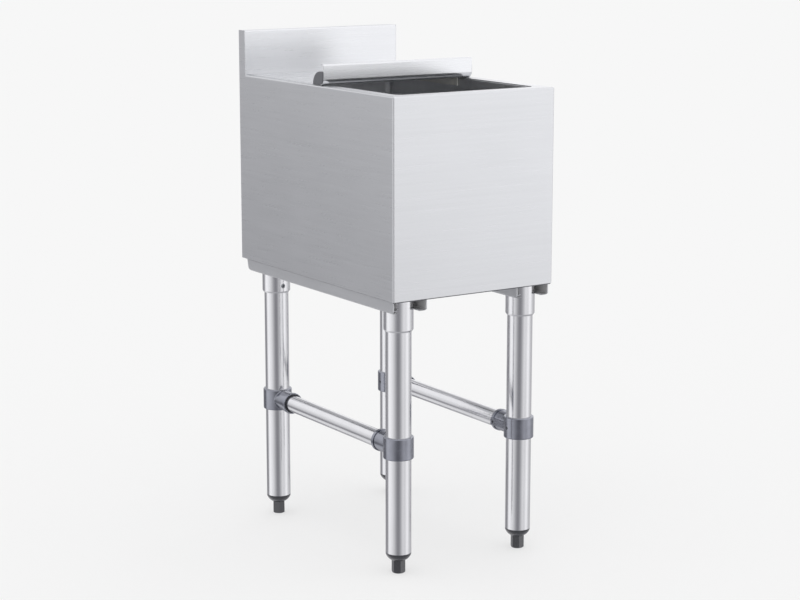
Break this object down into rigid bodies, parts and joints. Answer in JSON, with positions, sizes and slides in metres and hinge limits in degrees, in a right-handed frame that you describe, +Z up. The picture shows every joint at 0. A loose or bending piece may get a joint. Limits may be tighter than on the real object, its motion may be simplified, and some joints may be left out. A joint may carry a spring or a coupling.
{
  "type": "commercial ice bin",
  "caption": "Insulated sheet-metal ice bin with a backsplash, a drained inner tub and a sliding half lid, on tube legs with clamped side rails and adjustable feet.",
  "frame": {"origin": "on the floor, under the middle of the bin's width and depth, with the feet screwed in", "axes": "+X to the bin's right as a person stands at its front, +Y to the backsplash, +Z up"},
  "size_m": [0.3048, 0.4826, 0.841],
  "materials": {
    "brushed_sheet": "satin",
    "satin_liner": "satin",
    "lid_sheet": "satin",
    "polished_tube": "polished",
    "cast_grey": "satin",
    "plated_steel": "satin",
    "black_nylon": "matte",
    "cap_plastic": "matte",
    "guide_nylon": "matte",
    "drain_brass": "satin",
    "gasket_rubber": "matte",
    "rigid_foam": "matte"
  },
  "bodies": {
    "bin": {"outer_skin": "brushed_sheet", "backsplash_face": "brushed_sheet", "back_panel": "brushed_sheet", "bottom_pan": "brushed_sheet", "channel_left": "brushed_sheet", "channel_right": "brushed_sheet", "ice_liner": "satin_liner", "leg_front_left": "polished_tube", "leg_front_right": "polished_tube", "leg_rear_left": "polished_tube", "leg_rear_right": "polished_tube", "leg_socket_front_left": "polished_tube", "leg_socket_front_right": "polished_tube", "leg_socket_rear_left": "polished_tube", "leg_socket_rear_right": "polished_tube", "side_rail_left": "polished_tube", "side_rail_right": "polished_tube", "tee_clamp_front_left": "cast_grey", "tee_clamp_front_right": "cast_grey", "tee_clamp_rear_left": "cast_grey", "tee_clamp_rear_right": "cast_grey", "socket_set_screws": "plated_steel", "ring_set_screws": "plated_steel", "rail_set_screws": "plated_steel", "foot_insert_front_left": "black_nylon", "foot_insert_front_right": "black_nylon", "foot_insert_rear_left": "black_nylon", "foot_insert_rear_right": "black_nylon", "drain_spud": "drain_brass", "drain_locknut": "drain_brass", "drain_gasket": "gasket_rubber", "insulation": "rigid_foam"},
    "lid": {"lid_panel": "lid_sheet", "lid_cap_left": "cap_plastic", "lid_cap_right": "cap_plastic", "lid_guide_left": "guide_nylon", "lid_guide_right": "guide_nylon", "lid_screws": "plated_steel"},
    "adjustable_foot_front_left": {"foot_front_left": "black_nylon", "foot_stud_front_left": "plated_steel"},
    "adjustable_foot_front_right": {"foot_front_right": "black_nylon", "foot_stud_front_right": "plated_steel"},
    "adjustable_foot_rear_left": {"foot_rear_left": "black_nylon", "foot_stud_rear_left": "plated_steel"},
    "adjustable_foot_rear_right": {"foot_rear_right": "black_nylon", "foot_stud_rear_right": "plated_steel"},
    "strainer": {"drain_strainer": "satin_liner"}
  },
  "joints": [
    {"name": "lid_slide", "type": "slide", "parent": "bin", "child": "lid", "axis": [0, -1, 0], "range_m": [0, 0.205]},
    {"name": "foot_height_front_left", "type": "slide", "parent": "bin", "child": "adjustable_foot_front_left", "axis": [0, 0, -1], "range_m": [0, 0.025]},
    {"name": "foot_height_front_right", "type": "slide", "parent": "bin", "child": "adjustable_foot_front_right", "axis": [0, 0, -1], "range_m": [0, 0.025]},
    {"name": "foot_height_rear_left", "type": "slide", "parent": "bin", "child": "adjustable_foot_rear_left", "axis": [0, 0, -1], "range_m": [0, 0.025]},
    {"name": "foot_height_rear_right", "type": "slide", "parent": "bin", "child": "adjustable_foot_rear_right", "axis": [0, 0, -1], "range_m": [0, 0.025]},
    {"name": "strainer_lift", "type": "slide", "parent": "bin", "child": "strainer", "axis": [0, 0, 1], "range_m": [0, 0.06]}
  ]
}
